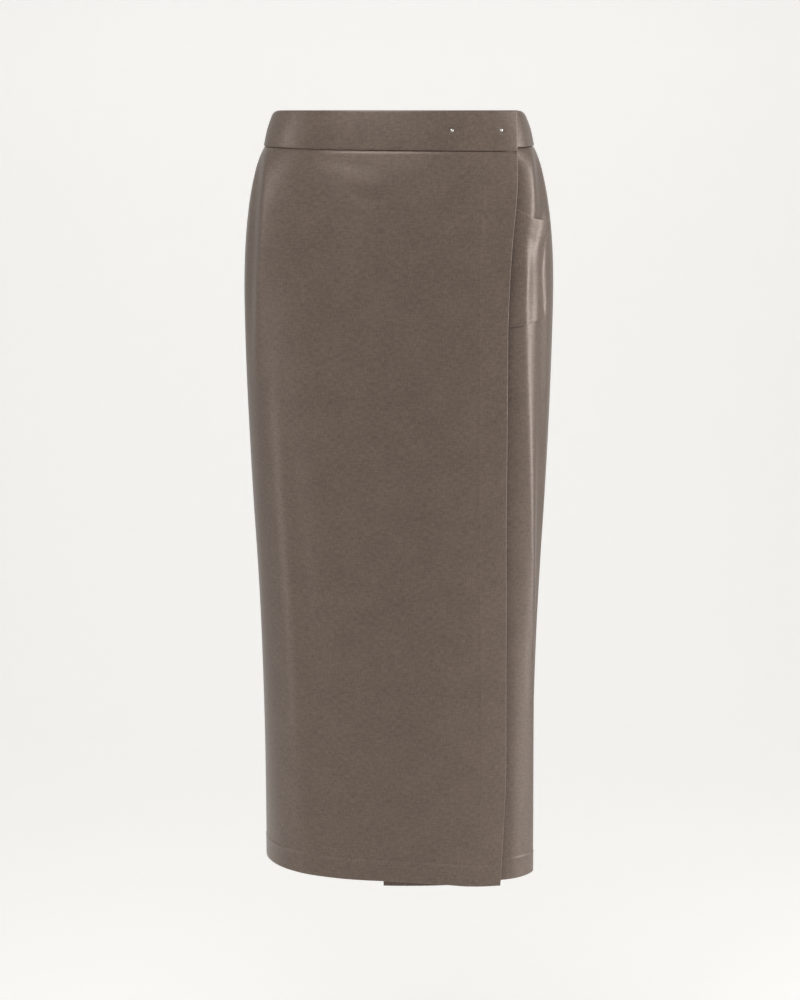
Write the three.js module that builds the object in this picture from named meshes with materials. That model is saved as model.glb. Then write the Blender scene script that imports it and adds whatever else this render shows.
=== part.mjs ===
import * as THREE from "three";

// A knee-length wrap skirt with its right front lapped over its left, hollow as when worn.
// Millimetres, +Z up. The front faces -Y, and the wearer's left side is at +X.
// The origin is the middle of the waist, half way down the waistband.
// A place on the cloth is a turn round the waist and a level below the waist's top edge.
// Turn is in degrees: 0 at the front, 90 at the wearer's left side seam, 180 at the back.

const BAND_MIDDLE = 21.8; // from the top edge of the front down to the origin
const PANEL_WALL = 1.5;
const BAND_WALL = 2.6;
const BAND_PROUD = 0.8; // how far a waistband stands out from the panel under it
const POCKET_WALL = 1.5;
const LAP_LIFT = 3.8; // how far the over front stands out where it laps the under front
const LAP_LIFT_TURNS = [-75, -20]; // the lift grows between these
const SEAM_GAP = 0.3; // between the edges of two pieces at a level seam
const SIDE_SEAM_TURN = 0.03; // half the gap at an upright side seam, 0.15 mm
const LAID_GAP = 0.5; // between the pocket and the panel that it is sewn to
const RIGHT_SIDE = -90;
const LEFT_SIDE = 90;

// The girth: half the width, and the depths in front of and behind the side seams.
// A squareness of 2 is an ellipse, and more has fuller corners.
const SECTIONS = [
  { below: 0, halfWidth: 140.9, front: 96, back: 95, squareness: 2.2 },
  { below: 20, halfWidth: 147.5, front: 98.5, back: 98.5, squareness: 2.2 },
  { below: 41, halfWidth: 152.7, front: 101, back: 103, squareness: 2.2 },
  { below: 49, halfWidth: 156.4, front: 102.5, back: 106, squareness: 2.22 },
  { below: 67, halfWidth: 162.3, front: 105.5, back: 112, squareness: 2.25 },
  { below: 101, halfWidth: 169.2, front: 109, back: 120, squareness: 2.3 },
  { below: 146, halfWidth: 174.1, front: 111.5, back: 127.5, squareness: 2.3 },
  { below: 192, halfWidth: 175.9, front: 113, back: 131, squareness: 2.3 },
  { below: 238, halfWidth: 175.6, front: 114, back: 131, squareness: 2.3 },
  { below: 306, halfWidth: 174.0, front: 115, back: 128.5, squareness: 2.28 },
  { below: 376, halfWidth: 171.2, front: 115, back: 125, squareness: 2.25 },
  { below: 446, halfWidth: 167.8, front: 115, back: 121.5, squareness: 2.22 },
  { below: 516, halfWidth: 163.8, front: 115, back: 118.5, squareness: 2.2 },
  { below: 587, halfWidth: 160.4, front: 115, back: 116, squareness: 2.2 },
  { below: 659, halfWidth: 158.2, front: 115, back: 114, squareness: 2.2 },
  { below: 731, halfWidth: 156.9, front: 115, back: 112, squareness: 2.2 },
  { below: 803, halfWidth: 156.3, front: 115, back: 110.5, squareness: 2.2 },
  { below: 890, halfWidth: 156.1, front: 115, back: 110, squareness: 2.2 },
];

// Soft upright folds. Each runs from one level to another, at a place across the front or
// the back that drifts from fromAcross to toAcross, and fades out at both ends.
// A negative rise is a trough.
const FOLDS = [
  { face: "front", from: 40, to: 640, fromAcross: 153.5, toAcross: 151, halfWidth: 15, rise: 2.6 },
  { face: "front", from: 40, to: 320, fromAcross: -152, toAcross: -160, halfWidth: 17, rise: 2.0 },
  { face: "front", from: 225, to: 930, fromAcross: -146, toAcross: -96, halfWidth: 22, rise: 1.9 },
  { face: "front", from: 235, to: 930, fromAcross: -128, toAcross: -78, halfWidth: 24, rise: -2.0 },
  { face: "back", from: 215, to: 960, fromAcross: 140, toAcross: 112, halfWidth: 30, rise: 2.6 },
  { face: "back", from: 260, to: 960, fromAcross: 108, toAcross: 78, halfWidth: 28, rise: -2.2 },
  { face: "back", from: 230, to: 960, fromAcross: -132, toAcross: -88, halfWidth: 32, rise: 2.4 },
  { face: "back", from: 250, to: 930, fromAcross: -96, toAcross: -52, halfWidth: 28, rise: -1.9 },
  { face: "back", from: 420, to: 980, fromAcross: 22, toAcross: 8, halfWidth: 30, rise: 1.6 },
];

// The waist's top edge is level in front and dips at the sides.
const WAIST_TOP = [
  { turn: 0, below: 0 },
  { turn: 64, below: 0 },
  { turn: 73, below: 1 },
  { turn: 80, below: 3.2 },
  { turn: 90, below: 8.8 },
  { turn: 100, below: 11.2 },
  { turn: 120, below: 10 },
  { turn: 145, below: 5.5 },
  { turn: 180, below: 3 },
];

// The seam under the waistband, on the over front and on everything else.
const OVER_WAIST_SEAM = [
  { turn: -90, below: 40 },
  { turn: -38, below: 42.3 },
  { turn: 0, below: 43.7 },
  { turn: 55, below: 45 },
];
const WAIST_SEAM = [
  { turn: -20, below: 42 },
  { turn: 60, below: 41 },
  { turn: 90, below: 40 },
  { turn: 135, below: 42 },
  { turn: 180, below: 41 },
  { turn: 225, below: 42 },
  { turn: 270, below: 40 },
];

const OVER_HEM = [
  { turn: -90, below: 865 },
  { turn: -5, below: 865.5 },
  { turn: 15, below: 870.4 },
  { turn: 27, below: 875 },
  { turn: 42, below: 878.5 },
  { turn: 52, below: 880 },
];
const UNDER_HEM = [
  { turn: -10, below: 875.5 },
  { turn: 45, below: 878 },
  { turn: 68, below: 880 },
  { turn: 90, below: 878 },
  { turn: 180, below: 872 },
  { turn: 270, below: 865 },
];

// How far across from the middle the free edges of the two fronts lie.
const OVER_EDGE = [
  { below: 0, across: 127.4 },
  { below: 67, across: 128 },
  { below: 89, across: 127.2 },
  { below: 111, across: 125.5 },
  { below: 133, across: 123.2 },
  { below: 155, across: 121.3 },
  { below: 199, across: 118.8 },
  { below: 243, across: 117.5 },
  { below: 332, across: 117.3 },
  { below: 450, across: 116.8 },
  { below: 606, across: 117.4 },
  { below: 700, across: 117.5 },
  { below: 747, across: 117 },
  { below: 793, across: 115.4 },
  { below: 840, across: 113.2 },
  { below: 890, across: 110.6 },
];
const UNDER_EDGE = [
  { below: 0, across: -36 },
  { below: 890, across: -18 },
];

// The patch pocket on the under front, its mouth sloping down to the side seam.
const POCKET_MOUTH = [
  { turn: 20, below: 97 },
  { turn: 49, below: 107.5 },
  { turn: 62, below: 116.5 },
  { turn: 69, below: 120.5 },
  { turn: 78, below: 122 },
];
const POCKET_FOOT = [
  { turn: 20, below: 240 },
  { turn: 41, below: 238 },
  { turn: 52, below: 234.5 },
  { turn: 70, below: 229 },
];
const POCKET_BACK_EDGE = [
  { below: 118, turn: 78 },
  { below: 148, turn: 72 },
  { below: 168, turn: 69.4 },
  { below: 190, turn: 68.4 },
  { below: 230, turn: 70 },
];
const POCKET_FRONT_TURN = 20;
const POCKET_CORNER = 24;
const POCKET_BELLY = 8; // how far its mouth gapes
const POCKET_BELLY_TURNS = [52, 77];
const HIP_RADIUS = 124; // turns round the hip into lengths, at the pocket

const PIN_DIAMETER = 4.2;
const PIN_HEIGHT = 1.3;
const PIN_ACROSS = { pin_head_inner: 57.0, pin_head_outer: 111.0 };

const CLOTH = new THREE.MeshStandardMaterial({
  name: "cloth", color: 0x74645a, roughness: 0.9, metalness: 0,
});
const METAL = new THREE.MeshStandardMaterial({
  name: "metal", color: 0xc9c4bc, roughness: 0.3, metalness: 1,
});

const mix = THREE.MathUtils.lerp;
const radians = THREE.MathUtils.degToRad;
const degrees = THREE.MathUtils.radToDeg;
const smooth = THREE.MathUtils.smoothstep;

// A smooth curve through a table's rows: one column as a function of another.
function follow(table, key, column, at) {
  const last = table.length - 1;
  if (at <= table[0][key]) return table[0][column];
  if (at >= table[last][key]) return table[last][column];
  const row = table.findIndex((entry) => entry[key] > at) - 1;
  const slope = (i, k) => (table[k][column] - table[i][column]) / (table[k][key] - table[i][key]);
  const span = table[row + 1][key] - table[row][key];
  const t = (at - table[row][key]) / span;
  const before = slope(Math.max(row - 1, 0), row + 1) * span;
  const after = slope(row, Math.min(row + 2, last)) * span;
  const [a, b] = [table[row][column], table[row + 1][column]];
  return a + t * before
    + t * t * (3 * (b - a) - 2 * before - after)
    + t * t * t * (2 * (a - b) + before + after);
}

const section = (column, below) => follow(SECTIONS, "below", column, below);
const signedPower = (value, power) => Math.sign(value) * Math.abs(value) ** power;

// The turn of a place that lies a given distance across the front.
function turnAcross(across, below) {
  const share = THREE.MathUtils.clamp(across / section("halfWidth", below), -1, 1);
  return degrees(Math.asin(signedPower(share, section("squareness", below) / 2)));
}

// How far the folds raise the cloth at a place.
function foldRise(turn, below) {
  const nearest = ((turn + 90) % 360) - 90;
  let rise = 0;
  for (const fold of FOLDS) {
    const along = (below - fold.from) / (fold.to - fold.from);
    if (along <= 0 || along >= 1) continue;
    const crossing = turnAcross(mix(fold.fromAcross, fold.toAcross, along), below);
    const crest = fold.face === "front" ? crossing : 180 - crossing;
    const aside = radians(nearest - crest) * section("halfWidth", below) / fold.halfWidth;
    rise += fold.rise * Math.sin(Math.PI * along) * Math.exp(-aside * aside);
  }
  return rise;
}

// A point of the skirt's skin, the outer face of its lower layer, moved out square to it.
function skinPoint(turn, below, out) {
  const width = section("halfWidth", below);
  const depth = section(Math.cos(radians(turn)) > 0 ? "front" : "back", below);
  const squareness = section("squareness", below);
  const across = signedPower(Math.sin(radians(turn)), 2 / squareness);
  const ahead = signedPower(-Math.cos(radians(turn)), 2 / squareness);
  const normal = new THREE.Vector3(
    signedPower(across, squareness - 1) / width,
    signedPower(ahead, squareness - 1) / depth,
    0,
  ).normalize();
  const point = new THREE.Vector3(across * width, ahead * depth, BAND_MIDDLE - below);
  return point.addScaledVector(normal, out + foldRise(turn, below));
}

const waistTop = (turn) => follow(WAIST_TOP, "turn", "below", turn > 180 ? 360 - turn : Math.abs(turn));
const lapLift = (turn) => LAP_LIFT * smooth(turn, ...LAP_LIFT_TURNS);

const edgeTurn = (edge, below) => turnAcross(follow(edge, "below", "across", below), below);

// A closed wall of cloth: its outer and inner faces as grids, and the rims that join them.
// place(u, v, face) gives a point; u runs with the turn, v down, and face is 0 inside, 1 outside.
function clothWall(name, columns, rows, place) {
  const points = [];
  for (const face of [0, 1]) {
    for (let j = 0; j <= rows; j += 1) {
      for (let i = 0; i <= columns; i += 1) {
        points.push(...place(i / columns, j / rows, face).toArray());
      }
    }
  }
  const faceSize = (columns + 1) * (rows + 1);
  const inner = (i, j) => j * (columns + 1) + i;
  const outer = (i, j) => faceSize + inner(i, j);
  const triangles = [];
  const quad = (a, b, c, d) => triangles.push(a, b, c, a, c, d);
  for (let j = 0; j < rows; j += 1) {
    for (let i = 0; i < columns; i += 1) {
      quad(outer(i, j), outer(i, j + 1), outer(i + 1, j + 1), outer(i + 1, j));
      quad(inner(i, j), inner(i + 1, j), inner(i + 1, j + 1), inner(i, j + 1));
    }
  }
  for (let i = 0; i < columns; i += 1) {
    quad(outer(i, 0), outer(i + 1, 0), inner(i + 1, 0), inner(i, 0));
    quad(outer(i, rows), inner(i, rows), inner(i + 1, rows), outer(i + 1, rows));
  }
  for (let j = 0; j < rows; j += 1) {
    quad(outer(0, j), inner(0, j), inner(0, j + 1), outer(0, j + 1));
    quad(outer(columns, j), outer(columns, j + 1), inner(columns, j + 1), inner(columns, j));
  }
  const geometry = new THREE.BufferGeometry();
  geometry.setAttribute("position", new THREE.Float32BufferAttribute(points, 3));
  geometry.setIndex(triangles);
  geometry.computeVertexNormals();
  return named(name, new THREE.Mesh(geometry, CLOTH));
}

function named(name, mesh) {
  mesh.name = name;
  return mesh;
}

// A length of the skirt's cloth between two upright edges and two level ones.
function wrappedPiece(name, columns, rows, { start, end, top, bottom, inner, outer, crowd = 1 }) {
  return clothWall(name, columns, rows, (u, v, face) => {
    const drop = v ** crowd;
    const guess = mix(top(0), bottom(0), drop);
    const turn = mix(start(guess), end(guess), u);
    const below = mix(top(turn), bottom(turn), drop);
    return skinPoint(turn, below, face ? outer(turn) : inner(turn));
  });
}

const HALF_GAP = SEAM_GAP / 2;
const PANEL_ROW_CROWD = 1.3; // rows lie closer together over the hip

function panel(name, columns, rows, { start, end, seam, hem, lift }) {
  return wrappedPiece(name, columns, rows, {
    start,
    end,
    top: (turn) => follow(seam, "turn", "below", turn) + HALF_GAP,
    bottom: (turn) => follow(hem, "turn", "below", turn),
    inner: (turn) => lift(turn) - PANEL_WALL,
    outer: lift,
    crowd: PANEL_ROW_CROWD,
  });
}

function waistband(name, columns, { start, end, seam, lift }) {
  const bandRows = 3;
  return wrappedPiece(name, columns, bandRows, {
    start,
    end,
    top: waistTop,
    bottom: (turn) => follow(seam, "turn", "below", turn) - HALF_GAP,
    inner: (turn) => lift(turn) + BAND_PROUD - BAND_WALL,
    outer: (turn) => lift(turn) + BAND_PROUD,
  });
}

const OVER_FRONT = {
  start: () => RIGHT_SIDE + SIDE_SEAM_TURN,
  end: (below) => edgeTurn(OVER_EDGE, below),
  seam: OVER_WAIST_SEAM,
  hem: OVER_HEM,
  lift: lapLift,
};
const UNDER_FRONT = {
  start: (below) => edgeTurn(UNDER_EDGE, below),
  end: () => LEFT_SIDE - SIDE_SEAM_TURN,
  seam: WAIST_SEAM,
  hem: UNDER_HEM,
  lift: () => 0,
};
const BACK = {
  start: () => LEFT_SIDE + SIDE_SEAM_TURN,
  end: () => RIGHT_SIDE + 360 - SIDE_SEAM_TURN,
  seam: WAIST_SEAM,
  hem: UNDER_HEM,
  lift: () => 0,
};

// How far the pocket stands off: most at its mouth near the side, and shut under the lap.
function pocketGape(turn, down) {
  const [from, to] = POCKET_BELLY_TURNS;
  if (turn <= from || turn >= to) return 0;
  const across = Math.sin(Math.PI * (turn - from) / (to - from)) ** 1.3;
  return POCKET_BELLY * across * Math.cos(radians(90 * down));
}

function patchPocket() {
  const mouth = (turn) => follow(POCKET_MOUTH, "turn", "below", turn);
  const foot = (turn) => follow(POCKET_FOOT, "turn", "below", turn);
  const backAt = (below) => follow(POCKET_BACK_EDGE, "below", "turn", below);
  const middle = (POCKET_FRONT_TURN + backAt(mouth(LEFT_SIDE))) / 2;
  const depth = foot(middle) - mouth(middle);
  return clothWall("patch_pocket", 18, 12, (u, v, face) => {
    const down = Math.sin(radians(90 * v)); // rows crowd towards the rounded corners
    const roundness = Math.max(POCKET_CORNER - (1 - down) * depth, 0);
    const inset = POCKET_CORNER - Math.sqrt(POCKET_CORNER ** 2 - roundness ** 2);
    const insetTurn = degrees(inset / HIP_RADIUS);
    const backTurn = backAt(mix(mouth(LEFT_SIDE), foot(LEFT_SIDE), down)) - insetTurn;
    const turn = mix(POCKET_FRONT_TURN + insetTurn, backTurn, u);
    const below = mix(mouth(turn), foot(turn), down);
    return skinPoint(turn, below, LAID_GAP + pocketGape(turn, down) + face * POCKET_WALL);
  });
}

// A domed metal head whose shank goes through the over front's waistband.
function pinHead(name, across) {
  const radius = PIN_DIAMETER / 2;
  const profile = [new THREE.Vector2(0, 0), new THREE.Vector2(radius, 0)];
  for (let step = 0; step <= 4; step += 1) {
    const angle = radians(step * 90 / 4);
    const rise = PIN_HEIGHT * (0.25 + 0.75 * Math.sin(angle));
    profile.push(new THREE.Vector2(step === 4 ? 0 : radius * Math.cos(angle), rise));
  }
  const head = new THREE.LatheGeometry(profile, 16);
  const turn = turnAcross(across, BAND_MIDDLE);
  const bandFace = lapLift(turn) + BAND_PROUD + SEAM_GAP;
  const seat = skinPoint(turn, BAND_MIDDLE, bandFace);
  const outward = skinPoint(turn, BAND_MIDDLE, bandFace + 1).sub(seat);
  const mesh = new THREE.Mesh(head, METAL);
  mesh.position.copy(seat);
  mesh.quaternion.setFromUnitVectors(new THREE.Vector3(0, 1, 0), outward.normalize());
  return named(name, mesh);
}

const skirt = new THREE.Group();
skirt.add(
  panel("over_front", 28, 34, OVER_FRONT),
  panel("under_front", 22, 34, UNDER_FRONT),
  panel("back", 26, 30, BACK),
  waistband("waistband_over_front", 28, OVER_FRONT),
  waistband("waistband_under_front", 22, UNDER_FRONT),
  waistband("waistband_back", 26, BACK),
  patchPocket(),
);
for (const [name, across] of Object.entries(PIN_ACROSS)) skirt.add(pinHead(name, across));

export default skirt;
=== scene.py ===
import math
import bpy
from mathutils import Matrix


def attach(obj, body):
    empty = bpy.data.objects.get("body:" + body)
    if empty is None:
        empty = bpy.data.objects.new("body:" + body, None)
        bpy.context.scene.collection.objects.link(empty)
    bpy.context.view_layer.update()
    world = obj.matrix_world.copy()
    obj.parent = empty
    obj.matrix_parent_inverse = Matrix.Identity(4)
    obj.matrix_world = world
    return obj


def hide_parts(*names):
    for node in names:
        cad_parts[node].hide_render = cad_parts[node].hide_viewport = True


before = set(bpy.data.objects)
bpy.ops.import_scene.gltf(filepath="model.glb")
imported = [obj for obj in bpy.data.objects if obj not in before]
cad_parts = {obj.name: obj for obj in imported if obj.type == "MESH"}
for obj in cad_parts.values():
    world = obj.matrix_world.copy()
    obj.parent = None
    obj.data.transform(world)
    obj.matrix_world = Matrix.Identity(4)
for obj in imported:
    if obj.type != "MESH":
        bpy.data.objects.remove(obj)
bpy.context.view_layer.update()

from types import SimpleNamespace

import bmesh
import bpy
import numpy as np
from mathutils import Vector

# A wrap skirt in brushed cotton that ends below the knee, hollow as when worn, its right
# front lapped over its left. Lengths are in millimetres unless a comment says otherwise, and
# MM makes metres of them. The front faces -Y, and the wearer's left side is at +X.
# A place on the cloth is a turn round the waist in degrees (0 at the front, 90 at the
# wearer's left side seam, 180 at the back) and a level below the front's top edge.
MM = 0.001

BAND_MIDDLE = 21.8  # from the top edge of the front down to the origin
PANEL_WALL = 1.3
BAND_WALL = 2.6
BAND_PROUD = 0.8
POCKET_WALL = 1.4
LAP_LIFT = 3.8
LAP_LIFT_TURNS = (-75, -20)
SEAM_GAP = 0.3
SIDE_SEAM_TURN = 0.03
LAID_GAP = 0.5
RIGHT_SIDE = -90
LEFT_SIDE = 90


def table(columns, *rows):
    """Rows of numbers as named columns."""
    return {name: np.array(values, float) for name, values in zip(columns.split(), zip(*rows))}


SECTIONS = table(
    "below half_width front back squareness",
    (0, 140.9, 96, 95, 2.2),
    (20, 147.5, 98.5, 98.5, 2.2),
    (41, 152.7, 101, 103, 2.2),
    (49, 156.4, 102.5, 106, 2.22),
    (67, 162.3, 105.5, 112, 2.25),
    (101, 169.2, 109, 120, 2.3),
    (146, 174.1, 111.5, 127.5, 2.3),
    (192, 175.9, 113, 131, 2.3),
    (238, 175.6, 114, 131, 2.3),
    (306, 174.0, 115, 128.5, 2.28),
    (376, 171.2, 115, 125, 2.25),
    (446, 167.8, 115, 121.5, 2.22),
    (516, 163.8, 115, 118.5, 2.2),
    (587, 160.4, 115, 116, 2.2),
    (659, 158.2, 115, 114, 2.2),
    (731, 156.9, 115, 112, 2.2),
    (803, 156.3, 115, 110.5, 2.2),
    (890, 156.1, 115, 110, 2.2),
)

# Soft upright folds, crest or trough, each fading out at both ends.
FOLDS = [
    dict(face="front", levels=(40, 640), across=(153.5, 151), half_width=15, rise=2.6),
    dict(face="front", levels=(40, 320), across=(-152, -160), half_width=17, rise=2.0),
    dict(face="front", levels=(225, 930), across=(-146, -96), half_width=22, rise=1.9),
    dict(face="front", levels=(235, 930), across=(-128, -78), half_width=24, rise=-2.0),
    dict(face="back", levels=(215, 960), across=(140, 112), half_width=30, rise=2.6),
    dict(face="back", levels=(260, 960), across=(108, 78), half_width=28, rise=-2.2),
    dict(face="back", levels=(230, 960), across=(-132, -88), half_width=32, rise=2.4),
    dict(face="back", levels=(250, 930), across=(-96, -52), half_width=28, rise=-1.9),
    dict(face="back", levels=(420, 980), across=(22, 8), half_width=30, rise=1.6),
]

# Faint slanting creases, from one (across, below) place to another.
FRONT_CREASES = [
    dict(start=(-97, 54), end=(-4, 66), half_width=7, rise=-0.45),
    dict(start=(-56, 88), end=(-12, 100), half_width=7, rise=-0.55),
    dict(start=(-70, 74), end=(-20, 84), half_width=8, rise=0.35),
    dict(start=(-86, 548), end=(2, 550), half_width=9, rise=-0.5),
    dict(start=(-2, 552), end=(116, 531), half_width=10, rise=0.5),
    dict(start=(-142, 682), end=(-108, 700), half_width=9, rise=0.8),
    dict(start=(-86, 695), end=(-30, 698), half_width=8, rise=-0.6),
    dict(start=(-96, 797), end=(14, 773), half_width=8, rise=0.5),
]
BACK_CREASES = [
    dict(start=(-70, 205), end=(60, 214), half_width=12, rise=-0.8),
    dict(start=(-110, 236), end=(-20, 246), half_width=11, rise=0.6),
    dict(start=(30, 262), end=(118, 250), half_width=12, rise=0.6),
    dict(start=(-90, 560), end=(20, 566), half_width=10, rise=-0.5),
    dict(start=(10, 705), end=(96, 692), half_width=10, rise=0.5),
]

# Upright ridges where the cloth turns to the sides: across is a crest's distance from the
# middle and height its rise, at each level. A profile gives the share of that rise at a
# distance beyond the crest. The cloth swells gently up to a ridge and falls away beyond it.
LEFT_RIDGE = table(
    "below across height",
    (40, 146, 0.8), (60, 146, 3.4), (108, 146.5, 3.2), (135, 142, 1.2), (160, 139, 2.0),
    (220, 139, 2.2), (245, 141, 2.9), (270, 141.2, 3.1), (310, 142, 3.2), (430, 146, 3.6),
    (560, 150, 4.4), (680, 151, 4.8), (890, 152, 4.8),
)
RIGHT_RIDGE = table(
    "below across height",
    (40, -146, 0.6), (70, -146.5, 2.2), (150, -148, 2.4), (215, -152, 1.8), (300, -157, 0.5),
    (890, -157, 0),
)
BAND_RIDGE = table("below across height", (0, 135, 0.1), (14, 136, 0.6), (45, 141, 1.6))
POCKET_RIDGE = table(
    "below across height",
    (90, 148, 2.2), (140, 139, 1.2), (175, 138.5, 3.4), (250, 138.5, 3.6),
)
RIDGE_PROFILE = table(
    "beyond share",
    (-45, 0), (-24, 0.3), (-6, 0.88), (0, 1), (4, 0.84), (8, 0.48), (13, 0), (19, -0.42),
    (26, -0.64), (34, -0.5), (45, 0),
)
POCKET_PROFILE = table(
    "beyond share",
    (-45, 0), (-22, 0.25), (-6, 0.8), (0, 0.95), (4, 0.78), (12, 0.16), (24, -0.4), (30, -0.5),
    (36, -0.45), (50, 0),
)

WAIST_TOP = table(
    "turn below",
    (0, 0), (66, 0), (75, 0.6), (82, 2.9), (90, 8.6), (100, 11.2), (120, 10), (145, 5.5), (180, 3),
)
OVER_WAIST_SEAM = table("turn below", (-90, 40), (-38, 42.3), (0, 43.7), (55, 45))
WAIST_SEAM = table(
    "turn below",
    (-20, 42), (60, 41), (90, 40), (135, 42), (180, 41), (225, 42), (270, 40),
)
OVER_HEM = table(
    "turn below",
    (-90, 865), (-5, 865.5), (15, 870.4), (27, 875), (42, 878.5), (52, 880),
)
UNDER_HEM = table(
    "turn below",
    (-10, 875.5), (45, 878), (68, 880), (90, 878), (180, 872), (270, 865),
)
OVER_EDGE = table(
    "below across",
    (0, 123.9), (45, 124.6), (67, 125.8), (89, 125.5), (111, 124.2), (133, 122.3), (155, 120.7),
    (199, 118.6), (243, 117.5), (332, 117.3), (450, 116.8), (606, 117.4), (700, 117.5),
    (747, 117), (793, 115.4), (840, 113.2), (890, 110.6),
)
UNDER_EDGE = table("below across", (0, -36), (890, -18))

POCKET_MOUTH = table(
    "turn below",
    (20, 97), (46.8, 107), (51.6, 112), (55.8, 117.5), (60, 119.6), (67.8, 120.6), (73, 122.5),
)
POCKET_FOOT = table("turn below", (20, 240), (41, 238), (52, 234.5), (70, 229))
POCKET_BACK_EDGE = table(
    "below turn",
    (118, 72.6), (137, 70), (148, 67.4), (166, 64.6), (190, 64), (214, 65.8), (232, 67),
)
POCKET_FRONT_TURN = 20
POCKET_CORNER = 24
POCKET_BELLY = 4.8
POCKET_BELLY_TURNS = (36, 75)
POCKET_BELLY_LEAN = 3.5  # above 1, the belly swells most near the pocket's back edge
POCKET_BELLY_DROP = 0.24  # the share of the pocket's depth in which the belly dies out
HIP_RADIUS = 124

PIN_DIAMETER = 3.8
PIN_HEIGHT = 1.3
PIN_ACROSS = {"pin_head_inner": 57.0, "pin_head_outer": 109.2}
PIN_DIMPLE = 0.7  # how far a pin draws the waistband in
PIN_DIMPLE_HALF_WIDTH = 3.4

MOUTH_HOLLOW = dict(turn=73, below=121, depth=5, half_width=13, half_height=9)
BACK_EDGE_DIP = dict(beyond=2, depth=1.3, half_width=3.5)  # beside the pocket's back edge
LAP_FLARE = 4.6
BAND_FLARE = 5.4  # the stiffer waistband stands off a little more
LAP_FLARE_REACH = 62
LAP_FLARE_CHANGE = (40, 120)  # from the waistband's flare to the panel's
LAP_HOLLOW_START = 24  # below a panel's or above a band's waist seam
BAND_HOLLOW = 0.8  # share of the panel's hollow
LAP_HOLLOW = table(
    "below depth width",
    (0, 4.8, 24), (235, 4.8, 22), (310, 5.4, 27), (450, 7, 34), (600, 11, 37), (890, 12.5, 39),
)

FACING_WIDTH = 38  # turned in behind the over front's free edge
FACING_NARROWS = ((60, 260, 6.5), (500, 880, 3))  # from a level to a level, and by how much
HEM_DEPTH = 24
MARK = 0.36  # how far a turned-in layer's edge presses through


def follow(rows, key, column, at):
    """A smooth curve through a table's rows: one column as a function of another."""
    keys = rows[key]
    values = rows[column]
    slopes = np.empty_like(values)
    slopes[1:-1] = (values[2:] - values[:-2]) / (keys[2:] - keys[:-2])
    slopes[0] = (values[1] - values[0]) / (keys[1] - keys[0])
    slopes[-1] = (values[-1] - values[-2]) / (keys[-1] - keys[-2])
    at = np.clip(at, keys[0], keys[-1])
    row = np.clip(np.searchsorted(keys, at, side="right") - 1, 0, len(keys) - 2)
    span = keys[row + 1] - keys[row]
    t = (at - keys[row]) / span
    low = values[row]
    high = values[row + 1]
    before = slopes[row] * span
    after = slopes[row + 1] * span
    bend = 3 * (high - low) - 2 * before - after
    return low + t * before + t ** 2 * bend + t ** 3 * (2 * (low - high) + before + after)


def section(column, below):
    return follow(SECTIONS, "below", column, below)


def signed_power(value, power):
    return np.sign(value) * np.abs(value) ** power


def smooth(value, low, high):
    """0 below low, 1 above high, and an easy step between."""
    t = np.clip((value - low) / (high - low), 0, 1)
    return t * t * (3 - 2 * t)


def hump(distance, half_width):
    return np.exp(-(distance / half_width) ** 2)


def turn_across(across, below):
    """The turn of a place that lies a given distance across the front."""
    share = np.clip(across / section("half_width", below), -1, 1)
    return np.degrees(np.arcsin(signed_power(share, section("squareness", below) / 2)))


def fold_rise(turn, below):
    nearest = (turn + 90) % 360 - 90
    rise = np.zeros_like(below, dtype=float)
    for fold in FOLDS:
        top, bottom = fold["levels"]
        along = np.clip((below - top) / (bottom - top), 0, 1)
        start, end = fold["across"]
        crossing = turn_across(start + (end - start) * along, below)
        crest = crossing if fold["face"] == "front" else 180 - crossing
        aside = np.radians(nearest - crest) * section("half_width", below)
        rise += fold["rise"] * np.sin(np.pi * along) * hump(aside, fold["half_width"])
    return rise


def skin(turn, below):
    """Where the skirt's skin is, the outer face of its lower layer, and its level normal."""
    width = section("half_width", below)
    depth = np.where(
        np.cos(np.radians(turn)) > 0, section("front", below), section("back", below)
    )
    squareness = section("squareness", below)
    across = signed_power(np.sin(np.radians(turn)), 2 / squareness)
    ahead = signed_power(-np.cos(np.radians(turn)), 2 / squareness)
    normal = np.stack(
        (
            signed_power(across, squareness - 1) / width,
            signed_power(ahead, squareness - 1) / depth,
            np.zeros_like(width),
        ),
        axis=-1,
    )
    normal /= np.linalg.norm(normal, axis=-1, keepdims=True)
    point = np.stack((across * width, ahead * depth, BAND_MIDDLE - below), axis=-1)
    return point, normal


def skin_point(turn, below, out):
    """A point moved out from the skin, and by the folds, in millimetres."""
    turn, below, out = np.broadcast_arrays(*(np.asarray(x, float) for x in (turn, below, out)))
    point, normal = skin(turn, below)
    return point + normal * (out + fold_rise(turn, below))[..., None]


def lap_lift(turn):
    return LAP_LIFT * smooth(turn, *LAP_LIFT_TURNS)


def waist_top(turn):
    return follow(WAIST_TOP, "turn", "below", np.where(turn > 180, 360 - turn, np.abs(turn)))


def level(rows, shift=0.0):
    return lambda turn: follow(rows, "turn", "below", turn) + shift


def edge(rows):
    return lambda below: turn_across(follow(rows, "below", "across", below), below)


def fixed(turn):
    return lambda below: np.full_like(below, turn, dtype=float)


def ridge_relief(ridge, profile, place):
    """A crisp ridge, by the arc length beyond its crest towards the side."""
    crest = turn_across(follow(ridge, "below", "across", place.below), place.below)
    beyond = np.radians(np.abs(place.turn) - np.abs(crest)) * HIP_RADIUS
    height = follow(ridge, "below", "height", place.below)
    return height * follow(profile, "beyond", "share", beyond)


def from_lap_edge(turn, below):
    """How far in from the over front's free edge a place lies, along the arc."""
    lap = turn_across(follow(OVER_EDGE, "below", "across", below), below)
    return np.radians(lap - turn) * HIP_RADIUS


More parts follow.
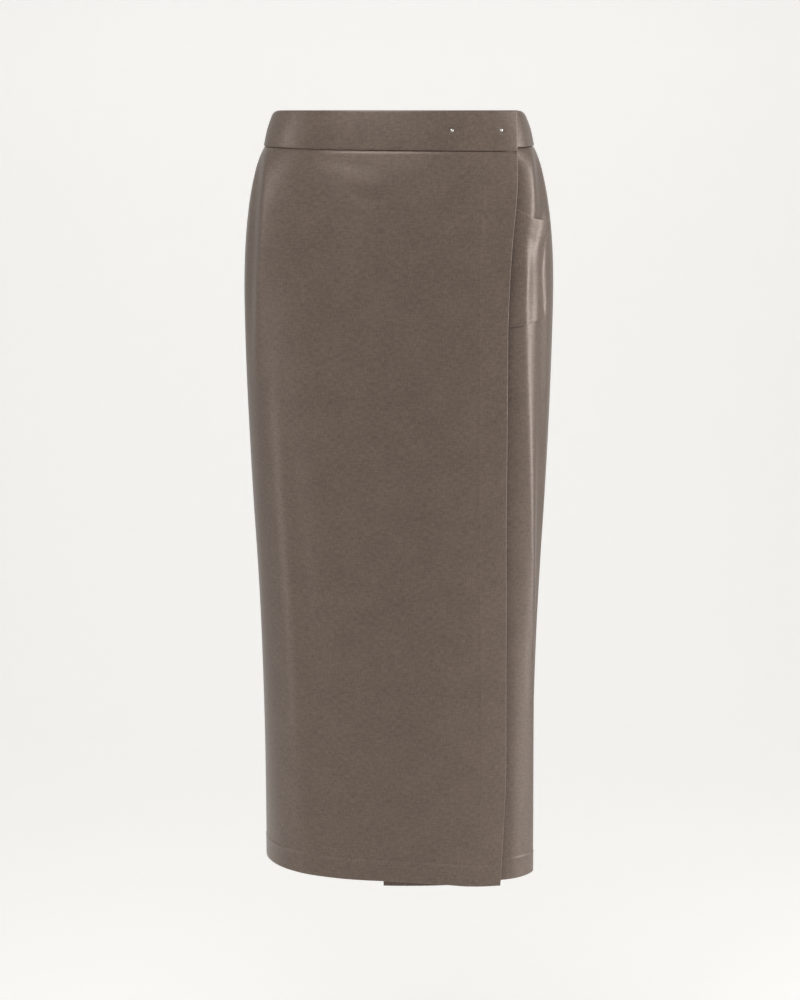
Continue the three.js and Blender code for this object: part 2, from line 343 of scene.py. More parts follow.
def lap_flare(turn, below):
    """The over front lies flatter than the body it wraps, so its free edge stands off."""
    flare = BAND_FLARE + (LAP_FLARE - BAND_FLARE) * smooth(below, *LAP_FLARE_CHANGE)
    return flare * (1 - np.clip(from_lap_edge(turn, below) / LAP_FLARE_REACH, 0, 1)) ** 2


def pocket_mouth_hollow(place):
    """The panel behind the gaping mouth sinks in, and beside the pocket's back edge too."""
    aside = np.radians(place.turn - MOUTH_HOLLOW["turn"]) * HIP_RADIUS
    behind = hump(aside, MOUTH_HOLLOW["half_width"])
    behind *= hump(place.below - MOUTH_HOLLOW["below"], MOUTH_HOLLOW["half_height"])
    back_edge = follow(POCKET_BACK_EDGE, "below", "turn", place.below)
    beside = np.radians(place.turn - back_edge) * HIP_RADIUS - BACK_EDGE_DIP["beyond"]
    along = smooth(place.below, 122, 140) * (1 - smooth(place.below, 214, 232))
    dip = BACK_EDGE_DIP["depth"] * hump(beside, BACK_EDGE_DIP["half_width"]) * along
    return -MOUTH_HOLLOW["depth"] * behind - dip


def lap_hollow(place, fade=1.0):
    """The under front lies deeper along the lap's free edge, and comes forward from there."""
    lap = follow(OVER_EDGE, "below", "across", place.below)
    share = np.clip((place.across - lap) / follow(LAP_HOLLOW, "below", "width", place.below), 0, 1)
    depth = follow(LAP_HOLLOW, "below", "depth", place.below)
    return -depth * (1 - share) ** 1.7 * fade


def crease_relief(creases, place):
    """Shallow creases that run between two places, deepest half way."""
    relief = np.zeros_like(place.below)
    for crease in creases:
        start = np.array(crease["start"], float)
        reach = np.array(crease["end"], float) - start
        offset = np.stack((place.across, place.below), axis=-1) - start
        along = np.clip((offset @ reach) / (reach @ reach), 0, 1)
        distance = np.linalg.norm(offset - along[..., None] * reach, axis=-1)
        relief += crease["rise"] * np.sin(np.pi * along) ** 0.6 * hump(distance, crease["half_width"])
    return relief


def cloth_waver(place):
    """The slight unevenness of hanging cloth."""
    x = place.girth
    y = place.below
    return (
        0.20 * np.sin(x / 23 + 1.3 * np.sin(y / 95)) * np.sin(y / 210 + 0.6)
        + 0.14 * np.sin(x / 11.5 + y / 160 + 2.0) * np.sin(y / 130 + 1.9)
        + 0.10 * np.sin(y / 31 + 1.7 * np.sin(x / 60)) * np.sin(x / 80 + 0.4)
    )


def rounded_ends(radius, count=4):
    """Distances from an edge that let a wall close in a round."""
    return radius * (1 - np.cos(np.linspace(0, np.pi / 2, count + 1)))


def spread(length, near_start, near_end, between):
    """Distances along a length: close ones at both ends, and even steps between them."""
    length = np.asarray(length, float)[..., None]
    low = near_start[-1]
    high = length - near_end[-1]
    steps = np.linspace(0, 1, between + 1)[1:-1]
    middle = low + (high - low) * steps
    first = np.broadcast_to(near_start, (*length.shape[:-1], len(near_start)))
    last = length - near_end[::-1]
    return np.concatenate((first, middle, last), axis=-1)


def cloth_places(piece):
    """The grid of places on a piece of cloth, with each one's distance from its edges."""
    middle = np.array(0.0)
    height = piece.bottom(middle) - piece.top(middle)
    guess = piece.top(middle) + spread(height, piece.near_top, piece.near_bottom, piece.rows)
    turns = []
    girths = []
    lengths = []
    for below in guess:
        low = piece.start(np.array(below))
        high = piece.end(np.array(below))
        fine = np.linspace(low, high, 481)
        line = skin_point(fine, below, 0)
        steps = np.linalg.norm(np.diff(line, axis=0), axis=-1)
        lengthwise = np.concatenate(([0], np.cumsum(steps)))
        girth = spread(lengthwise[-1], piece.near_start, piece.near_end, piece.columns)
        turns.append(np.interp(girth, lengthwise, fine))
        girths.append(girth)
        lengths.append(lengthwise[-1])
    turn = np.array(turns)
    girth = np.array(girths)
    length = np.array(lengths)[:, None]
    height = piece.bottom(turn) - piece.top(turn)
    drop = np.array([
        spread(height[row], piece.near_top, piece.near_bottom, piece.rows)[:, row]
        for row in range(len(height))
    ])
    below = piece.top(turn) + drop
    point, _ = skin(turn, below)
    return SimpleNamespace(
        turn=turn,
        below=below,
        girth=girth,
        across=point[..., 0],
        from_start=girth,
        from_end=length - girth,
        from_top=drop,
        from_bottom=height - drop,
    )


def closing(place, radius):
    """How open the wall is near its edges, so that they are round: 0 at the edge, 1 inside."""
    nearest = np.minimum.reduce(
        (place.from_start, place.from_end, place.from_top, place.from_bottom)
    )
    inward = 1 - np.clip(nearest / radius, 0, 1)
    return np.sqrt(np.clip(1 - inward ** 2, 0, 1))


def wall_mesh(name, outer, inner, cloth_uv, wear, material):
    """A closed wall from two grids of points that meet along their borders, in millimetres."""
    rows, columns = outer.shape[:2]
    points = np.concatenate((outer.reshape(-1, 3), inner.reshape(-1, 3))) * MM
    index = np.arange(rows * columns).reshape(rows, columns)
    a = index[:-1, :-1].ravel()
    b = index[1:, :-1].ravel()
    c = index[1:, 1:].ravel()
    d = index[:-1, 1:].ravel()
    shift = rows * columns
    outside = np.stack((a, b, c, d), axis=-1)
    inside = np.stack((a, d, c, b), axis=-1) + shift
    faces = np.concatenate((outside, inside))
    mesh = bpy.data.meshes.new(name)
    mesh.from_pydata(points.tolist(), [], faces.tolist())
    layer = mesh.uv_layers.new(name="cloth")
    uv = np.tile(cloth_uv.reshape(-1, 2), (2, 1)) * MM
    layer.data.foreach_set("uv", uv[faces.ravel()].astype(np.float32).ravel())
    # A per-point attribute that makes the cloth lighter along edges and ridges: partly rubbing, partly
    # a painted highlight.
    wear_and_highlight_attribute = mesh.attributes.new("wear", "FLOAT", "POINT")
    wear_and_highlight_attribute.data.foreach_set("value", np.tile(wear.ravel(), 2).astype(np.float32))
    weld = bmesh.new()
    weld.from_mesh(mesh)
    border = [v for v in weld.verts if v.is_boundary]
    bmesh.ops.remove_doubles(weld, verts=border, dist=1e-6)
    weld.to_mesh(mesh)
    weld.free()
    mesh.polygons.foreach_set("use_smooth", [True] * len(mesh.polygons))
    mesh.materials.append(material)
    made = bpy.data.objects.new(name, mesh)
    bpy.context.collection.objects.link(made)
    return made


def sew(name, piece, material):
    """A wall of cloth on its places: a piece's outer and wall give its outer face and thickness."""
    place = cloth_places(piece)
    wear = piece.wear(place)
    return cloth_on(name, place, piece.outer(place), piece.wall(place), wear, material)


def cloth_on(name, place, outer, wall, wear, material):
    half = wall / 2
    openness = closing(place, half)
    outside = skin_point(place.turn, place.below, outer - half + half * openness)
    inside = skin_point(place.turn, place.below, outer - half - half * openness)
    cloth_uv = np.stack((place.girth, -place.below), axis=-1)
    return wall_mesh(name, outside, inside, cloth_uv, wear, material)


def even(thickness):
    return lambda place: np.full_like(place.below, thickness)


def no_lift(turn):
    return np.zeros_like(turn)


def pressed_mark(distance, width):
    """The edge of a layer turned in behind the cloth, which shows as a step with a faint ridge."""
    step = 1 - smooth(distance, width - 2, width + 2)
    return MARK * (0.7 * step + 0.9 * hump(distance - width, 1.5))


def rubbing_and_highlight(*marks):
    """Where edges, folds and ridges turn lighter, partly from rubbing of the nap and partly as a
    painted highlight where they catch the light: each mark is a distance, width and strength.
    """
    return sum(strength * hump(distance, width) for distance, width, strength in marks)


def seam_roll(distance):
    """Cloth dips where it rolls into a seam."""
    return 0.08 * hump(distance - 3.4, 1.6) - 0.7 * hump(distance, 1.3)


SEAM_FADE = 16  # the left ridge's relief dies out this far from the side seam
WAVER_START = (4, 40)  # the waver comes in below the waist seam

# Distances from an edge at which a piece has its columns or rows.
NEAR_SEAM = np.concatenate((rounded_ends(0.65), [1.2, 2, 3, 4.2, 6]))
NEAR_HEM = np.concatenate(
    (rounded_ends(0.65), [1.5, 4, 9, 15, 19, 21, 22.2, 23, 23.8, 24.6, 25.6, 27, 30])
)
NEAR_FREE_EDGE = np.concatenate(
    (rounded_ends(1.1), [2, 3.2, 6, 12, 20, 26, 29, 31, 32.5, 34, 35, 36, 37, 38, 39.5, 42])
)
NEAR_BAND_EDGE = np.concatenate((rounded_ends(1.3), [2.4, 4]))

EDGE_WALL = 0.9  # how much thicker the over front is where its facing lies behind it


def over_front():
    def facing(place):
        width = FACING_WIDTH
        for top, bottom, less in FACING_NARROWS:
            width = width - less * smooth(place.below, top, bottom)
        return width

    def outer(place):
        return (
            lap_lift(place.turn)
            + lap_flare(place.turn, place.below)
            + pressed_mark(place.from_end, facing(place))
            + pressed_mark(place.from_bottom, HEM_DEPTH)
            + seam_roll(place.from_top)
            + seam_roll(place.from_start)
            + crease_relief(FRONT_CREASES, place)
            + ridge_relief(RIGHT_RIDGE, RIDGE_PROFILE, place)
            + cloth_waver(place) * smooth(place.from_top, *WAVER_START)
        )

    def wall(place):
        return PANEL_WALL + EDGE_WALL * (1 - smooth(place.from_end, 4, 20))

    # Lighter lines along the free edge, the facing's pressed edge, the hem fold and the hem's turned
    # edge: partly rubbing, partly a painted highlight on these ridges.
    def wear(place):
        return rubbing_and_highlight(
            (place.from_end, 0.9, 0.35),
            (place.from_end - facing(place), 1.1, 0.2),
            (place.from_bottom, 0.9, 0.7),
            (place.from_bottom - HEM_DEPTH, 1.1, 0.5),
        )

    return SimpleNamespace(
        start=fixed(RIGHT_SIDE + SIDE_SEAM_TURN),
        end=edge(OVER_EDGE),
        top=level(OVER_WAIST_SEAM, SEAM_GAP / 2),
        bottom=level(OVER_HEM),
        outer=outer,
        wall=wall,
        wear=wear,
        near_start=NEAR_SEAM,
        near_end=NEAR_FREE_EDGE,
        near_top=NEAR_SEAM,
        near_bottom=NEAR_HEM,
        columns=115,
        rows=170,
    )


# Lighter lines at the hem fold and the hem's turned edge: partly rubbing, partly a painted highlight on
# these ridges.
def hem_wear(place):
    return rubbing_and_highlight((place.from_bottom, 0.9, 0.7), (place.from_bottom - HEM_DEPTH, 1.1, 0.4))


# Lighter lines along the waistband's top and its ends: partly rubbing, partly a painted highlight on
# these edges.
def band_wear(place):
    return rubbing_and_highlight((place.from_top, 1.0, 0.5), (place.from_end, 1.0, 0.9), (place.from_start, 1.0, 0.5))


def under_front():
    def outer(place):
        return (
            pressed_mark(place.from_bottom, HEM_DEPTH)
            + seam_roll(place.from_top)
            + seam_roll(place.from_end)
            + ridge_relief(LEFT_RIDGE, RIDGE_PROFILE, place) * smooth(place.from_end, 0, SEAM_FADE)
            + lap_hollow(place, smooth(place.from_top, 0, LAP_HOLLOW_START))
            + pocket_mouth_hollow(place)
            + cloth_waver(place) * smooth(place.from_top, *WAVER_START)
        )

    return SimpleNamespace(
        start=edge(UNDER_EDGE),
        end=fixed(LEFT_SIDE - SIDE_SEAM_TURN),
        top=level(WAIST_SEAM, SEAM_GAP / 2),
        bottom=level(UNDER_HEM),
        outer=outer,
        wall=even(PANEL_WALL),
        wear=hem_wear,
        near_start=NEAR_SEAM,
        near_end=NEAR_SEAM,
        near_top=NEAR_SEAM,
        near_bottom=NEAR_HEM,
        columns=150,
        rows=170,
    )


DART_TOP = 62  # across, at the waist seam
DART_POINT = 58
DART_LENGTH = 118
DART_SWELL = dict(rise=0.3, half_width=6)
DART_LINE = dict(rise=-0.75, half_width=1.3)


def dart_relief(place):
    """Two darts under the back waistband, each a sewn line that dies out at its point."""
    along = np.clip(place.from_top / DART_LENGTH, 0, 1)
    line = DART_TOP + (DART_POINT - DART_TOP) * along
    aside = np.abs(place.across) - line
    fade = 1 - smooth(along, 0.9, 1.0)
    marks = (DART_SWELL, DART_LINE)
    return fade * sum(mark["rise"] * hump(aside, mark["half_width"]) for mark in marks)


def back():
    def outer(place):
        return (
            pressed_mark(place.from_bottom, HEM_DEPTH)
            + seam_roll(place.from_top)
            + seam_roll(place.from_start)
            + seam_roll(place.from_end)
            + dart_relief(place)
            + crease_relief(BACK_CREASES, place)
            + cloth_waver(place) * smooth(place.from_top, *WAVER_START)
        )

    return SimpleNamespace(
        start=fixed(LEFT_SIDE + SIDE_SEAM_TURN),
        end=fixed(RIGHT_SIDE + 360 - SIDE_SEAM_TURN),
        top=level(WAIST_SEAM, SEAM_GAP / 2),
        bottom=level(UNDER_HEM),
        outer=outer,
        wall=even(PANEL_WALL),
        wear=hem_wear,
        near_start=NEAR_SEAM,
        near_end=NEAR_SEAM,
        near_top=NEAR_SEAM,
        near_bottom=NEAR_HEM,
        columns=215,
        rows=150,
    )


BAND_CROWN = 0.35


def band_relief(place):
    """A stiffened band has a slight crown, and rolls in at its lower seam."""
    height = place.from_top + place.from_bottom
    crown = BAND_CROWN * np.sin(np.pi * np.clip(place.from_top / height, 0, 1))
    return crown - 0.5 * hump(place.from_bottom, 1.1) + 0.08 * np.sin(place.girth / 17)


def pin_dimples(place):
    dimple = np.zeros_like(place.below)
    for across in PIN_ACROSS.values():
        seat = turn_across(across, np.array(BAND_MIDDLE))
        aside = np.radians(place.turn - seat) * section("half_width", BAND_MIDDLE)
        distance = np.hypot(aside, place.below - BAND_MIDDLE)
        dimple -= PIN_DIMPLE * hump(distance, PIN_DIMPLE_HALF_WIDTH)
    return dimple


def waistband(start, end, seam, lift, lapped=False, hollowed=False, columns=110):
    def outer(place):
        relief = band_relief(place)
        if lapped:
            relief = relief + pin_dimples(place) + lap_flare(place.turn, place.below)
        elif hollowed:
            fade = BAND_HOLLOW * smooth(place.from_bottom, 0, LAP_HOLLOW_START)
            relief = relief + lap_hollow(place, fade)
            relief = relief + ridge_relief(BAND_RIDGE, RIDGE_PROFILE, place)
        return lift(place.turn) + BAND_PROUD + relief

    return SimpleNamespace(
        start=start,
        end=end,
        top=waist_top,
        bottom=level(seam, -SEAM_GAP / 2),
        outer=outer,
        wall=even(BAND_WALL),
        wear=band_wear,
        near_start=NEAR_BAND_EDGE,
        near_end=NEAR_BAND_EDGE,
        near_top=NEAR_BAND_EDGE,
        near_bottom=NEAR_BAND_EDGE,
        columns=columns,
        rows=26,
    )


def pocket_gape(turn, down):
    low, high = POCKET_BELLY_TURNS
    share = np.clip((turn - low) / (high - low), 0, 1)
    swell = np.sin(np.pi * share ** POCKET_BELLY_LEAN) ** 1.3
    return POCKET_BELLY * swell * hump(down, POCKET_BELLY_DROP)


POCKET_STITCH = 4.5  # from the pocket's edge to its stitching
STITCH_GROOVE = dict(depth=0.15, half_width=1.1)
POCKET_HEM = 20
POCKET_WIDTH = 125  # roughly, to space its first columns and rows


def pocket_places(columns=70, rows=64):
    """The grid of places on the pocket, with its rows crowded towards the rounded corners."""
    mouth = level(POCKET_MOUTH)
    foot = level(POCKET_FOOT)
    near = rounded_ends(POCKET_WALL / 2) / POCKET_WIDTH
    share = spread(np.array(1.0), near, near, columns)
    first_rows = near / (np.pi / 2)
    v = np.concatenate((first_rows[:-1], np.linspace(first_rows[-1], 1, rows)))
    down = np.sin(np.pi / 2 * v)[:, None]
    last_turn = POCKET_MOUTH["turn"][-1]
    middle = (POCKET_FRONT_TURN + last_turn) / 2
    depth = foot(middle) - mouth(middle)
    roundness = np.clip(POCKET_CORNER - (1 - down) * depth, 0, None)
    inset = POCKET_CORNER - np.sqrt(POCKET_CORNER ** 2 - roundness ** 2)
    inset_turn = np.degrees(inset / HIP_RADIUS)
    level_at_side = mouth(LEFT_SIDE) + (foot(LEFT_SIDE) - mouth(LEFT_SIDE)) * down
    back_turn = follow(POCKET_BACK_EDGE, "below", "turn", level_at_side) - inset_turn
    front_turn = POCKET_FRONT_TURN + inset_turn
    turn = front_turn + (back_turn - front_turn) * share
    below = mouth(turn) + (foot(turn) - mouth(turn)) * down
    width = np.radians(back_turn - front_turn) * HIP_RADIUS
    point, _ = skin(turn, below)
    return SimpleNamespace(
        turn=turn,
        below=below,
        across=point[..., 0],
        down=np.broadcast_to(down, turn.shape),
        girth=np.radians(turn) * HIP_RADIUS,
        from_start=share * width,
        from_end=(1 - share) * width,
        from_top=below - mouth(turn),
        from_bottom=foot(turn) - below,
    )


def patch_pocket(material):
    place = pocket_places()
    sewn = np.minimum.reduce((place.from_start, place.from_end, place.from_bottom))
    relief = (
        0.25 * hump(sewn - 1.8, 1.6)
        - STITCH_GROOVE["depth"] * hump(sewn - POCKET_STITCH, STITCH_GROOVE["half_width"])
        + pressed_mark(place.from_top, POCKET_HEM)
        + 0.35 * np.sin(place.girth / 9 + place.below / 21) * smooth(sewn, 5, 20)
    )
    panel = ridge_relief(POCKET_RIDGE, POCKET_PROFILE, place) + lap_hollow(place)
    outer = panel + LAID_GAP + POCKET_WALL + pocket_gape(place.turn, place.down) + relief
    wall = np.full_like(place.below, POCKET_WALL)
    # Lighter lines along the pocket's sewn edges, its mouth and its stitching: partly rubbing, partly a
    # painted highlight on these edges.
    wear = rubbing_and_highlight((sewn, 1.0, 0.7), (place.from_top, 1.0, 0.8), (sewn - POCKET_STITCH, 0.8, 0.3))
    return cloth_on("patch_pocket_cloth", place, outer, wall, wear, material)


def turned_mesh(name, profile, seat, normal, around, material):
    """A closed body turned about a normal; profile runs from the rim to the axis, in mm."""
    sideways = np.cross((0, 0, 1), normal)
    upright = np.cross(normal, sideways)
    mesh = bmesh.new()
    rings = []
    for radius, rise in profile[:-1]:
        ring = []
        for step in range(around):
            angle = 2 * math.pi * step / around
            aside = math.cos(angle) * sideways + math.sin(angle) * upright
            ring.append(mesh.verts.new((seat + normal * rise + aside * radius) * MM))
        rings.append(ring)
    for low, high in zip(rings, rings[1:]):
        for step in range(around):
            after = (step + 1) % around
            mesh.faces.new((low[step], low[after], high[after], high[step]))
    crown = mesh.verts.new((seat + normal * profile[-1][1]) * MM)
    for step in range(around):
        mesh.faces.new((rings[-1][step], rings[-1][(step + 1) % around], crown))
    mesh.faces.new(rings[0][::-1])
    bmesh.ops.recalc_face_normals(mesh, faces=mesh.faces)
    data = bpy.data.meshes.new(name)
    mesh.to_mesh(data)
    mesh.free()
    data.polygons.foreach_set("use_smooth", [True] * len(data.polygons))
    data.materials.append(material)
    made = bpy.data.objects.new(name, data)
    bpy.context.collection.objects.link(made)
    return made


def pin_head(name, across, material):
    """A small dome on a thin rim, set into the band."""
    radius = PIN_DIAMETER / 2
    profile = [
        (radius * 0.55, -0.6), (radius * 0.9, -0.1), (radius, 0.1), (radius, 0.22),
        (radius * 0.93, 0.34),
    ]
    for angle in np.linspace(0, np.pi / 2, 13):
        rise = PIN_HEIGHT * (0.3 + 0.7 * math.sin(angle))
        profile.append((radius * 0.87 * math.cos(angle), rise))
    turn = turn_across(across, np.array(BAND_MIDDLE))
    flare = lap_flare(turn, np.array(BAND_MIDDLE))
    out = lap_lift(turn) + flare + BAND_PROUD + BAND_CROWN - PIN_DIMPLE
    seat = skin_point(turn, BAND_MIDDLE, out)
    normal = skin(turn, np.array(BAND_MIDDLE))[1]
    return turned_mesh(name + "_fine", profile, seat, normal, 40, material)


def new_material(name):
    material = bpy.data.materials.new(name)
    material.use_nodes = True
    nodes = material.node_tree.nodes
    return material, nodes, material.node_tree.links, nodes["Principled BSDF"]


def calculate(nodes, links, operation, *inputs):
    node = nodes.new("ShaderNodeMath")
    node.operation = operation
    for socket, value in zip(node.inputs, inputs):
        if isinstance(value, (int, float)):
            socket.default_value = value
        else:
            links.new(value, socket)
    return node.outputs[0]


def brushed_cotton():
    """Taupe brushed cotton: a fine twill under a short nap, with a soft sheen."""
    material, nodes, links, shader = new_material("brushed_cotton")
    uv = nodes.new("ShaderNodeUVMap")
    uv.uv_map = "cloth"
    split = nodes.new("ShaderNodeSeparateXYZ")
    links.new(uv.outputs["UV"], split.inputs[0])

    def noise(scale, detail, stretch=(1, 1, 1)):
        mapping = nodes.new("ShaderNodeMapping")
        mapping.inputs["Scale"].default_value = stretch
        links.new(uv.outputs["UV"], mapping.inputs["Vector"])
        node = nodes.new("ShaderNodeTexNoise")
        node.inputs["Scale"].default_value = scale
        node.inputs["Detail"].default_value = detail
        links.new(mapping.outputs["Vector"], node.inputs["Vector"])
        return node.outputs["Fac"]

    warp_streaks = noise(620, 3, (1, 0.3, 1))
    weft_streaks = noise(560, 3, (0.24, 1, 1))
    clouding = noise(30, 5)
    nap = noise(2600, 2)

    grain = calculate(nodes, links, "ADD", warp_streaks, weft_streaks)
    cloud_share = calculate(nodes, links, "MULTIPLY", clouding, 0.35)
    tone = calculate(nodes, links, "ADD", grain, cloud_share)
    tone = calculate(nodes, links, "DIVIDE", tone, 2.35)
    ramp = nodes.new("ShaderNodeValToRGB")
    ramp.color_ramp.elements[0].position = 0.37
    ramp.color_ramp.elements[0].color = (0.098, 0.072, 0.057, 1)
    ramp.color_ramp.elements[1].position = 0.63
    ramp.color_ramp.elements[1].color = (0.182, 0.136, 0.109, 1)
    links.new(tone, ramp.inputs["Fac"])
    # Lighter colour along edges and pressed ridges, from the mesh attribute: partly rubbing of the nap,
    # partly a painted highlight where those ridges catch the light.
    wear_and_highlight_attribute = nodes.new("ShaderNodeAttribute")
    wear_and_highlight_attribute.attribute_name = "wear"
    uneven = calculate(nodes, links, "MULTIPLY_ADD", warp_streaks, 1.4, -0.2)
    rubbing_and_highlight_share = calculate(nodes, links, "MULTIPLY", wear_and_highlight_attribute.outputs["Fac"], uneven)
    rubbing_and_highlight_share = calculate(nodes, links, "MINIMUM", rubbing_and_highlight_share, 1.0)
    # A mix node's sockets 6 and 7 are its two colours, and its output 2 is the mixed one.
    paler = nodes.new("ShaderNodeMix")
    paler.data_type = "RGBA"
    links.new(rubbing_and_highlight_share, paler.inputs["Factor"])
    links.new(ramp.outputs["Color"], paler.inputs[6])
    paler.inputs[7].default_value = (0.25, 0.195, 0.162, 1)
    links.new(paler.outputs[2], shader.inputs["Base Color"])

    twill_pitch = 0.0007
    diagonal = calculate(nodes, links, "ADD", split.outputs[0], split.outputs[1])
    twill = calculate(nodes, links, "MULTIPLY", diagonal, 2 * math.pi / twill_pitch)
    twill = calculate(nodes, links, "SINE", twill)
    height = calculate(nodes, links, "MULTIPLY", twill, 0.25)
    height = calculate(nodes, links, "ADD", height, nap)
    height = calculate(nodes, links, "ADD", height, tone)
    bump = nodes.new("ShaderNodeBump")
    bump.inputs["Strength"].default_value = 0.2
    bump.inputs["Distance"].default_value = 0.00012
    links.new(height, bump.inputs["Height"])
    links.new(bump.outputs["Normal"], shader.inputs["Normal"])

    rough = nodes.new("ShaderNodeMapRange")
    rough.inputs["To Min"].default_value = 0.33
    rough.inputs["To Max"].default_value = 0.41
    links.new(clouding, rough.inputs["Value"])
    links.new(rough.outputs["Result"], shader.inputs["Roughness"])
    shader.inputs["Specular IOR Level"].default_value = 1.0
    shader.inputs["Specular Tint"].default_value = (1.0, 0.84, 0.75, 1)
    shader.inputs["Sheen Weight"].default_value = 0.04
    shader.inputs["Sheen Roughness"].default_value = 0.45
    shader.inputs["Sheen Tint"].default_value = (0.92, 0.84, 0.78, 1)
    return material


def pin_metal():
    """Bright plated metal with fine scuffs."""
    material, nodes, links, shader = new_material("pin_metal")
    place = nodes.new("ShaderNodeTexCoord")
    grain = nodes.new("ShaderNodeTexNoise")
    grain.inputs["Scale"].default_value = 2500
    grain.inputs["Detail"].default_value = 3
    links.new(place.outputs["Object"], grain.inputs["Vector"])
    rough = nodes.new("ShaderNodeMapRange")
    rough.inputs["To Min"].default_value = 0.24
    rough.inputs["To Max"].default_value = 0.4
    links.new(grain.outputs["Fac"], rough.inputs["Value"])
    links.new(rough.outputs["Result"], shader.inputs["Roughness"])
    ramp = nodes.new("ShaderNodeValToRGB")
    ramp.color_ramp.elements[0].color = (0.72, 0.7, 0.66, 1)
    ramp.color_ramp.elements[1].color = (0.88, 0.86, 0.82, 1)
    links.new(grain.outputs["Fac"], ramp.inputs["Fac"])
    links.new(ramp.outputs["Color"], shader.inputs["Base Color"])
    shader.inputs["Metallic"].default_value = 1.0
    return material


def pale_paper():
    """Pale paper that glows softly behind the skirt, as a lit backdrop does."""
    material, nodes, links, shader = new_material("pale_paper")
    shader.inputs["Base Color"].default_value = (0.86, 0.853, 0.838, 1)
    shader.inputs["Emission Color"].default_value = (1.0, 0.99, 0.97, 1)
    place = nodes.new("ShaderNodeNewGeometry")
    split = nodes.new("ShaderNodeSeparateXYZ")
    links.new(place.outputs["Position"], split.inputs[0])
    glow = nodes.new("ShaderNodeMapRange")
    glow.interpolation_type = "SMOOTHSTEP"
    glow.inputs["From Min"].default_value = -0.3
    glow.inputs["From Max"].default_value = 0.8
    glow.inputs["To Min"].default_value = 0.0
    glow.inputs["To Max"].default_value = 0.34
    links.new(split.outputs["Y"], glow.inputs["Value"])
    aside = calculate(nodes, links, "ABSOLUTE", split.outputs["X"])
    spread_out = nodes.new("ShaderNodeMapRange")
    spread_out.interpolation_type = "SMOOTHSTEP"
    spread_out.inputs["From Min"].default_value = 1.2
    spread_out.inputs["From Max"].default_value = 2.2
    spread_out.inputs["To Min"].default_value = 1.0
    spread_out.inputs["To Max"].default_value = 0.0
    links.new(aside, spread_out.inputs["Value"])
    strength = calculate(nodes, links, "MULTIPLY", glow.outputs["Result"], spread_out.outputs["Result"])
    links.new(strength, shader.inputs["Emission Strength"])
    shader.inputs["Roughness"].default_value = 1.0
    shader.inputs["Specular IOR Level"].default_value = 0.0
    return material


FLOOR_LEVEL = -1.35  # metres; the skirt hangs above it, at its wearer's waist
SWEEP_BACK = 4.0
SWEEP_RADIUS = 1.5
SWEEP_TOP = 5.0
SWEEP_HALF_WIDTH = 9.0


def studio_sweep():
    """A pale floor that curves up into a backdrop, in metres."""
    bend = SWEEP_BACK - SWEEP_RADIUS
    profile = [(-SWEEP_HALF_WIDTH, FLOOR_LEVEL)]
    for angle in np.linspace(0, math.pi / 2, 17):
        out = bend + SWEEP_RADIUS * math.sin(angle)
        profile.append((out, FLOOR_LEVEL + SWEEP_RADIUS * (1 - math.cos(angle))))
    profile.append((SWEEP_BACK, SWEEP_TOP))
    points = [(x, y, z) for y, z in profile for x in (-SWEEP_HALF_WIDTH, SWEEP_HALF_WIDTH)]
    faces = [(2 * k, 2 * k + 1, 2 * k + 3, 2 * k + 2) for k in range(len(profile) - 1)]
    mesh = bpy.data.meshes.new("studio_sweep")
    mesh.from_pydata(points, [], faces)
    mesh.polygons.foreach_set("use_smooth", [True] * len(mesh.polygons))
    mesh.materials.append(pale_paper())
    sweep = bpy.data.objects.new("studio_sweep", mesh)
    bpy.context.collection.objects.link(sweep)


def soft_light(name, azimuth, elevation, distance, size, power, level=-0.4):
    """A light that faces the skirt at a level; azimuth 0 is in front, 90 at its left side."""
    a = math.radians(azimuth)
    e = math.radians(elevation)
    toward = Vector((math.sin(a) * math.cos(e), -math.cos(a) * math.cos(e), math.sin(e)))
    data = bpy.data.lights.new(name, "AREA")
    data.shape = "RECTANGLE"
    data.size, data.size_y = size
    data.energy = power
    light = bpy.data.objects.new(name, data)
    light.location = Vector((0, 0, level)) + toward * distance
    light.rotation_euler = toward.to_track_quat("Z", "Y").to_euler()
    bpy.context.collection.objects.link(light)


def studio_light():
    scene = bpy.context.scene
    scene.view_settings.view_transform = "Standard"
    world = bpy.data.worlds.new("studio")
    world.use_nodes = True
    sky = world.node_tree.nodes["Background"]
    sky.inputs["Color"].default_value = (1.0, 0.992, 0.975, 1)
    sky.inputs["Strength"].default_value = 0.34
    scene.world = world
    soft_light("left_side_light", 90, 0, 2.4, (0.4, 2.2), 33, level=0.04)
    soft_light("right_side_light", -90, 0, 2.6, (0.3, 0.9), 4.6, level=0.5)
    soft_light("low_side_light", -80, 4, 1.6, (0.4, 0.5), 1.1, level=-0.8)
    soft_light("front_light", -14, 48, 4.0, (2.4, 2.4), 71)


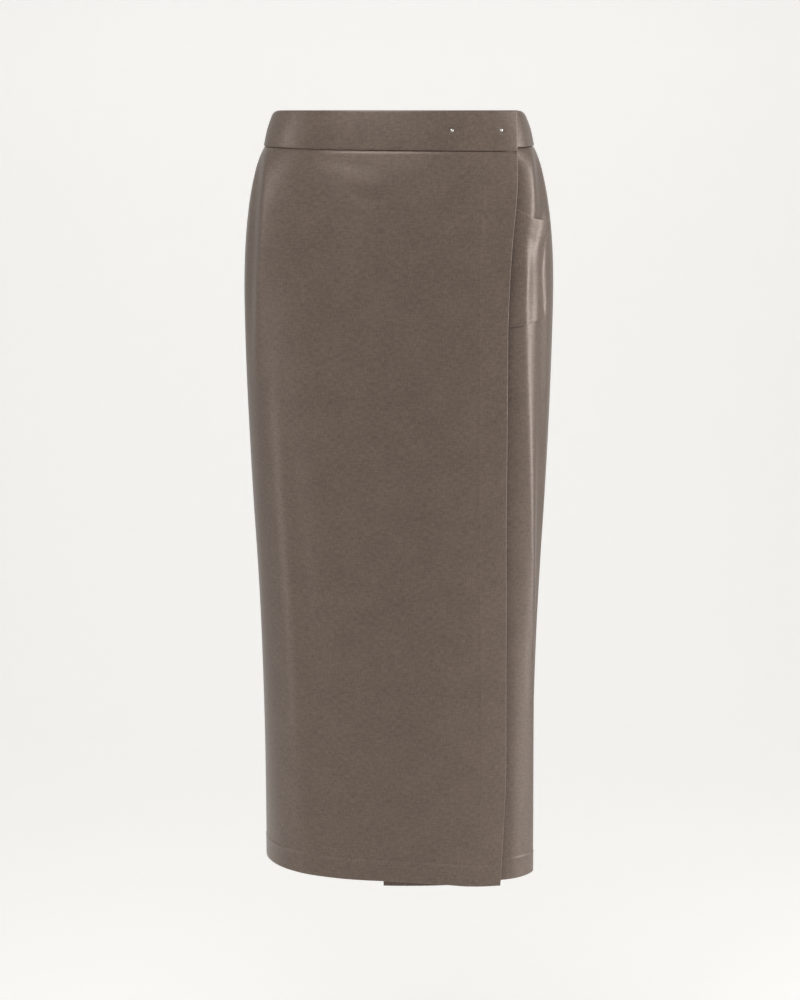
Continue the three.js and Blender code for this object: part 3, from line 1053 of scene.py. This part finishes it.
CAMERA_DISTANCE = 2.9  # metres
CAMERA_ASIDE = 0.0012
CAMERA_PITCH = 8.734  # degrees down
CAMERA_LENS = 91.32
CAMERA_FRAME = 36


def add_camera():
    data = bpy.data.cameras.new("camera")
    data.lens = CAMERA_LENS
    data.sensor_width = CAMERA_FRAME
    camera = bpy.data.objects.new("camera", data)
    camera.location = (CAMERA_ASIDE, -CAMERA_DISTANCE, BAND_MIDDLE * MM)
    camera.rotation_euler = (math.radians(90 - CAMERA_PITCH), 0, 0)
    bpy.context.collection.objects.link(camera)
    bpy.context.scene.camera = camera


def declare(piece, node):
    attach(piece, "root")
    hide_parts(node)


add_camera()
studio_sweep()
studio_light()
cotton = brushed_cotton()
metal = pin_metal()

RIGHT_SEAM_FRONT = fixed(RIGHT_SIDE + SIDE_SEAM_TURN)
LEFT_SEAM_FRONT = fixed(LEFT_SIDE - SIDE_SEAM_TURN)
LEFT_SEAM_BACK = fixed(LEFT_SIDE + SIDE_SEAM_TURN)
RIGHT_SEAM_BACK = fixed(RIGHT_SIDE + 360 - SIDE_SEAM_TURN)
over_band = waistband(
    RIGHT_SEAM_FRONT, edge(OVER_EDGE), OVER_WAIST_SEAM, lap_lift, lapped=True, columns=150
)
under_band = waistband(edge(UNDER_EDGE), LEFT_SEAM_FRONT, WAIST_SEAM, no_lift, hollowed=True)
back_band = waistband(LEFT_SEAM_BACK, RIGHT_SEAM_BACK, WAIST_SEAM, no_lift, columns=160)

# Each cloth piece with the width, length and area that it was cut to, in metres.
CLOTH = [
    ("over_front", over_front(), (0.36, 0.84), 0.29),
    ("under_front", under_front(), (0.27, 0.84), 0.21),
    ("back", back(), (0.48, 0.84), 0.38),
    ("waistband_over_front", over_band, (0.35, 0.044), None),
    ("waistband_under_front", under_band, (0.23, 0.044), None),
    ("waistband_back", back_band, (0.365, 0.04), None),
]
for node, piece, flat, area in CLOTH:
    cloth = sew(node + "_cloth", piece, cotton)
    declare(cloth, node)

pocket = patch_pocket(cotton)
declare(pocket, "patch_pocket")

for node, across in PIN_ACROSS.items():
    declare(pin_head(node, across, metal), node)
